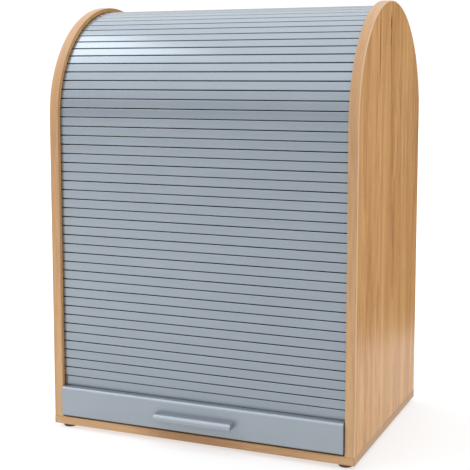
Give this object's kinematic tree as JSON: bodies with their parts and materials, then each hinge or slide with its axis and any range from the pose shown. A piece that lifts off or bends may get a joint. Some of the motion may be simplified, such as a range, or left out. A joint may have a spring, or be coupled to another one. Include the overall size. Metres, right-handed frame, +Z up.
{
  "type": "roll-top bread box",
  "caption": "Counter-top bread box cabinet with oak-faced sides, arched top and a grey plastic tambour shutter that slides up, over and down behind.",
  "frame": {"origin": "on the surface that the feet stand on, under the middle of the object's overall box", "axes": "+Z up, -Y towards the front with the pull handle, +X to the right seen from the front"},
  "size_m": [0.516, 0.396, 0.697],
  "materials": {
    "oak": "satin oak-decor faced board",
    "oak_edge": "satin oak-decor edge band",
    "hardboard": "matte pressed board",
    "slat_plastic": "satin silver-grey",
    "bar_plastic": "satin silver-grey",
    "foot_plastic": "smooth dark brown",
    "bumper_rubber": "matte",
    "steel": "zinc plated"
  },
  "bodies": {
    "cabinet": {"side_panel_left": "oak", "side_panel_right": "oak", "edge_band_left": "oak_edge", "edge_band_right": "oak_edge", "base_board": "oak", "base_edge_band": "oak_edge", "foot_front_left": "foot_plastic", "foot_front_right": "foot_plastic", "foot_rear_left": "foot_plastic", "foot_rear_right": "foot_plastic", "inner_back": "hardboard", "outer_back": "hardboard", "rear_rail": "oak", "shelf": "oak", "shelf_pin_front_left": "steel", "shelf_pin_front_right": "steel", "shelf_pin_rear_left": "steel", "shelf_pin_rear_right": "steel", "bumper_left": "bumper_rubber", "bumper_right": "bumper_rubber"},
    "bar": {"closing_bar": "bar_plastic", "lead_slat": "slat_plastic", "pull_handle": "bar_plastic", "handle_screw_left": "steel", "handle_screw_right": "steel"},
    "slats_01": {"slat_pair_01": "slat_plastic"},
    "slats_02": {"slat_pair_02": "slat_plastic"},
    "slats_03": {"slat_pair_03": "slat_plastic"},
    "slats_04": {"slat_pair_04": "slat_plastic"},
    "slats_05": {"slat_pair_05": "slat_plastic"},
    "slats_06": {"slat_pair_06": "slat_plastic"},
    "slats_07": {"slat_pair_07": "slat_plastic"},
    "slats_08": {"slat_pair_08": "slat_plastic"},
    "slats_09": {"slat_pair_09": "slat_plastic"},
    "slats_10": {"slat_pair_10": "slat_plastic"},
    "slats_11": {"slat_pair_11": "slat_plastic"},
    "slats_12": {"slat_pair_12": "slat_plastic"},
    "slats_13": {"slat_pair_13": "slat_plastic"},
    "slats_14": {"slat_pair_14": "slat_plastic"},
    "slats_15": {"slat_pair_15": "slat_plastic"},
    "slats_16": {"slat_pair_16": "slat_plastic"},
    "slats_17": {"slat_pair_17": "slat_plastic"},
    "slats_18": {"slat_pair_18": "slat_plastic"},
    "slats_19": {"slat_pair_19": "slat_plastic"},
    "slats_20": {"slat_pair_20": "slat_plastic"},
    "slats_21": {"slat_pair_21": "slat_plastic"},
    "slats_22": {"slat_pair_22": "slat_plastic"},
    "slats_23": {"slat_pair_23": "slat_plastic"},
    "slats_24": {"slat_pair_24": "slat_plastic"},
    "slats_25": {"slat_pair_25": "slat_plastic"},
    "slats_26": {"slat_pair_26": "slat_plastic"},
    "slats_27": {"slat_pair_27": "slat_plastic"},
    "slats_28": {"slat_pair_28": "slat_plastic"},
    "slats_29": {"slat_pair_29": "slat_plastic"},
    "slats_30": {"slat_pair_30": "slat_plastic"},
    "slats_31": {"slat_pair_31": "slat_plastic"},
    "slats_32": {"slat_pair_32": "slat_plastic"},
    "slats_33": {"slat_pair_33": "slat_plastic"},
    "slats_34": {"slat_pair_34": "slat_plastic"}
  },
  "joints": [
    {"name": "shutter_slide", "type": "slide", "parent": "cabinet", "child": "bar", "axis": [0, 0, 1], "range_m": [0, 0.4233]},
    {"name": "slats_01_travel", "type": "hinge", "parent": "cabinet", "child": "slats_01", "pos_m": [0, 4.89866, 0.30536], "axis": [-1, 0, 0], "range_deg": [0, 4.79], "deforming": ["slat_pair_01"]},
    {"name": "slats_02_travel", "type": "hinge", "parent": "cabinet", "child": "slats_02", "pos_m": [0, 1.51486, 0.32129], "axis": [-1, 0, 0], "range_deg": [0, 14.37], "deforming": ["slat_pair_02"]},
    {"name": "slats_03_travel", "type": "hinge", "parent": "cabinet", "child": "slats_03", "pos_m": [0, 0.83483, 0.33624], "axis": [-1, 0, 0], "range_deg": [0, 23.94], "deforming": ["slat_pair_03"]},
    {"name": "slats_04_travel", "type": "hinge", "parent": "cabinet", "child": "slats_04", "pos_m": [0, 0.54173, 0.35104], "axis": [-1, 0, 0], "range_deg": [0, 33.51], "deforming": ["slat_pair_04"]},
    {"name": "slats_05_travel", "type": "hinge", "parent": "cabinet", "child": "slats_05", "pos_m": [0, 0.37814, 0.36581], "axis": [-1, 0, 0], "range_deg": [0, 43.08], "deforming": ["slat_pair_05"]},
    {"name": "slats_06_travel", "type": "hinge", "parent": "cabinet", "child": "slats_06", "pos_m": [0, 0.27384, 0.38055], "axis": [-1, 0, 0], "range_deg": [0, 52.65], "deforming": ["slat_pair_06"]},
    {"name": "slats_07_travel", "type": "hinge", "parent": "cabinet", "child": "slats_07", "pos_m": [0, 0.20184, 0.39527], "axis": [-1, 0, 0], "range_deg": [0, 62.22], "deforming": ["slat_pair_07"]},
    {"name": "slats_08_travel", "type": "hinge", "parent": "cabinet", "child": "slats_08", "pos_m": [0, 0.14955, 0.40999], "axis": [-1, 0, 0], "range_deg": [0, 71.79], "deforming": ["slat_pair_08"]},
    {"name": "slats_09_travel", "type": "hinge", "parent": "cabinet", "child": "slats_09", "pos_m": [0, 0.1103, 0.42471], "axis": [-1, 0, 0], "range_deg": [0, 81.36], "deforming": ["slat_pair_09"]},
    {"name": "slats_10_travel", "type": "hinge", "parent": "cabinet", "child": "slats_10", "pos_m": [0, 0.08027, 0.43943], "axis": [-1, 0, 0], "range_deg": [0, 90.93], "deforming": ["slat_pair_10"]},
    {"name": "slats_11_travel", "type": "hinge", "parent": "cabinet", "child": "slats_11", "pos_m": [0, 0.05708, 0.45414], "axis": [-1, 0, 0], "range_deg": [0, 100.51], "deforming": ["slat_pair_11"]},
    {"name": "slats_12_travel", "type": "hinge", "parent": "cabinet", "child": "slats_12", "pos_m": [0, 0.03921, 0.46885], "axis": [-1, 0, 0], "range_deg": [0, 110.08], "deforming": ["slat_pair_12"]},
    {"name": "slats_13_travel", "type": "hinge", "parent": "cabinet", "child": "slats_13", "pos_m": [0, 0.02565, 0.48356], "axis": [-1, 0, 0], "range_deg": [0, 119.65], "deforming": ["slat_pair_13"]},
    {"name": "slats_14_travel", "type": "hinge", "parent": "cabinet", "child": "slats_14", "pos_m": [0, 0.01569, 0.49826], "axis": [-1, 0, 0], "range_deg": [0, 129.22], "deforming": ["slat_pair_14"]},
    {"name": "slats_15_travel", "type": "hinge", "parent": "cabinet", "child": "slats_15", "pos_m": [0, 0.00989, 0.5104], "axis": [-1, 0, 0], "range_deg": [0, 137.1], "deforming": ["slat_pair_15"]},
    {"name": "slats_16_travel", "type": "hinge", "parent": "cabinet", "child": "slats_16", "pos_m": [0, 0.0095, 0.5115], "axis": [-1, 0, 0], "range_deg": [0, 137.81]},
    {"name": "slats_17_travel", "type": "hinge", "parent": "cabinet", "child": "slats_17", "pos_m": [0, 0.0095, 0.5115], "axis": [-1, 0, 0], "range_deg": [0, 137.81]},
    {"name": "slats_18_travel", "type": "hinge", "parent": "cabinet", "child": "slats_18", "pos_m": [0, 0.0095, 0.5115], "axis": [-1, 0, 0], "range_deg": [0, 137.81]},
    {"name": "slats_19_travel", "type": "hinge", "parent": "cabinet", "child": "slats_19", "pos_m": [0, 0.0095, 0.5115], "axis": [-1, 0, 0], "range_deg": [0, 137.81]},
    {"name": "slats_20_travel", "type": "hinge", "parent": "cabinet", "child": "slats_20", "pos_m": [0, 0.00495, 0.50128], "axis": [-1, 0, 0], "range_deg": [0, 131.18], "deforming": ["slat_pair_20"]},
    {"name": "slats_21_travel", "type": "hinge", "parent": "cabinet", "child": "slats_21", "pos_m": [0, -0.00433, 0.48657], "axis": [-1, 0, 0], "range_deg": [0, 121.61], "deforming": ["slat_pair_21"]},
    {"name": "slats_22_travel", "type": "hinge", "parent": "cabinet", "child": "slats_22", "pos_m": [0, -0.01711, 0.47186], "axis": [-1, 0, 0], "range_deg": [0, 112.04], "deforming": ["slat_pair_22"]},
    {"name": "slats_23_travel", "type": "hinge", "parent": "cabinet", "child": "slats_23", "pos_m": [0, -0.03403, 0.45715], "axis": [-1, 0, 0], "range_deg": [0, 102.47], "deforming": ["slat_pair_23"]},
    {"name": "slats_24_travel", "type": "hinge", "parent": "cabinet", "child": "slats_24", "pos_m": [0, -0.05602, 0.44244], "axis": [-1, 0, 0], "range_deg": [0, 92.89], "deforming": ["slat_pair_24"]},
    {"name": "slats_25_travel", "type": "hinge", "parent": "cabinet", "child": "slats_25", "pos_m": [0, -0.0845, 0.42772], "axis": [-1, 0, 0], "range_deg": [0, 83.32], "deforming": ["slat_pair_25"]},
    {"name": "slats_26_travel", "type": "hinge", "parent": "cabinet", "child": "slats_26", "pos_m": [0, -0.1216, 0.41301], "axis": [-1, 0, 0], "range_deg": [0, 73.75], "deforming": ["slat_pair_26"]},
    {"name": "slats_27_travel", "type": "hinge", "parent": "cabinet", "child": "slats_27", "pos_m": [0, -0.1708, 0.39829], "axis": [-1, 0, 0], "range_deg": [0, 64.18], "deforming": ["slat_pair_27"]},
    {"name": "slats_28_travel", "type": "hinge", "parent": "cabinet", "child": "slats_28", "pos_m": [0, -0.23801, 0.38356], "axis": [-1, 0, 0], "range_deg": [0, 54.61], "deforming": ["slat_pair_28"]},
    {"name": "slats_29_travel", "type": "hinge", "parent": "cabinet", "child": "slats_29", "pos_m": [0, -0.33417, 0.36883], "axis": [-1, 0, 0], "range_deg": [0, 45.04], "deforming": ["slat_pair_29"]},
    {"name": "slats_30_travel", "type": "hinge", "parent": "cabinet", "child": "slats_30", "pos_m": [0, -0.4821, 0.35407], "axis": [-1, 0, 0], "range_deg": [0, 35.47], "deforming": ["slat_pair_30"]},
    {"name": "slats_31_travel", "type": "hinge", "parent": "cabinet", "child": "slats_31", "pos_m": [0, -0.73831, 0.33928], "axis": [-1, 0, 0], "range_deg": [0, 25.9], "deforming": ["slat_pair_31"]},
    {"name": "slats_32_travel", "type": "hinge", "parent": "cabinet", "child": "slats_32", "pos_m": [0, -1.292, 0.32438], "axis": [-1, 0, 0], "range_deg": [0, 16.33], "deforming": ["slat_pair_32"]},
    {"name": "slats_33_travel", "type": "hinge", "parent": "cabinet", "child": "slats_33", "pos_m": [0, -3.40602, 0.30891], "axis": [-1, 0, 0], "range_deg": [0, 6.75], "deforming": ["slat_pair_33"]},
    {"name": "slats_34_travel", "type": "slide", "parent": "cabinet", "child": "slats_34", "axis": [0, 0, -1], "range_m": [0, 0.4235], "deforming": ["slat_pair_34"]}
  ],
  "couplings": [
    {"joint": "slats_01_travel", "follows": "shutter_slide", "rad_per_m": 0.19731},
    {"joint": "slats_02_travel", "follows": "shutter_slide", "rad_per_m": 0.59194},
    {"joint": "slats_03_travel", "follows": "shutter_slide", "rad_per_m": 0.98657},
    {"joint": "slats_04_travel", "follows": "shutter_slide", "rad_per_m": 1.3812},
    {"joint": "slats_05_travel", "follows": "shutter_slide", "rad_per_m": 1.7758},
    {"joint": "slats_06_travel", "follows": "shutter_slide", "rad_per_m": 2.1704},
    {"joint": "slats_07_travel", "follows": "shutter_slide", "rad_per_m": 2.5651},
    {"joint": "slats_08_travel", "follows": "shutter_slide", "rad_per_m": 2.9597},
    {"joint": "slats_09_travel", "follows": "shutter_slide", "rad_per_m": 3.3543},
    {"joint": "slats_10_travel", "follows": "shutter_slide", "rad_per_m": 3.749},
    {"joint": "slats_11_travel", "follows": "shutter_slide", "rad_per_m": 4.1436},
    {"joint": "slats_12_travel", "follows": "shutter_slide", "rad_per_m": 4.5382},
    {"joint": "slats_13_travel", "follows": "shutter_slide", "rad_per_m": 4.9328},
    {"joint": "slats_14_travel", "follows": "shutter_slide", "rad_per_m": 5.3275},
    {"joint": "slats_15_travel", "follows": "shutter_slide", "rad_per_m": 5.6526},
    {"joint": "slats_16_travel", "follows": "shutter_slide", "rad_per_m": 5.6818},
    {"joint": "slats_17_travel", "follows": "shutter_slide", "rad_per_m": 5.6818},
    {"joint": "slats_18_travel", "follows": "shutter_slide", "rad_per_m": 5.6818},
    {"joint": "slats_19_travel", "follows": "shutter_slide", "rad_per_m": 5.6818},
    {"joint": "slats_20_travel", "follows": "shutter_slide", "rad_per_m": 5.4083},
    {"joint": "slats_21_travel", "follows": "shutter_slide", "rad_per_m": 5.0136},
    {"joint": "slats_22_travel", "follows": "shutter_slide", "rad_per_m": 4.619},
    {"joint": "slats_23_travel", "follows": "shutter_slide", "rad_per_m": 4.2244},
    {"joint": "slats_24_travel", "follows": "shutter_slide", "rad_per_m": 3.8298},
    {"joint": "slats_25_travel", "follows": "shutter_slide", "rad_per_m": 3.4351},
    {"joint": "slats_26_travel", "follows": "shutter_slide", "rad_per_m": 3.0405},
    {"joint": "slats_27_travel", "follows": "shutter_slide", "rad_per_m": 2.6459},
    {"joint": "slats_28_travel", "follows": "shutter_slide", "rad_per_m": 2.2513},
    {"joint": "slats_29_travel", "follows": "shutter_slide", "rad_per_m": 1.8566},
    {"joint": "slats_30_travel", "follows": "shutter_slide", "rad_per_m": 1.462},
    {"joint": "slats_31_travel", "follows": "shutter_slide", "rad_per_m": 1.0674},
    {"joint": "slats_32_travel", "follows": "shutter_slide", "rad_per_m": 0.67275},
    {"joint": "slats_33_travel", "follows": "shutter_slide", "rad_per_m": 0.27812},
    {"joint": "slats_34_travel", "follows": "shutter_slide", "ratio": 1}
  ]
}
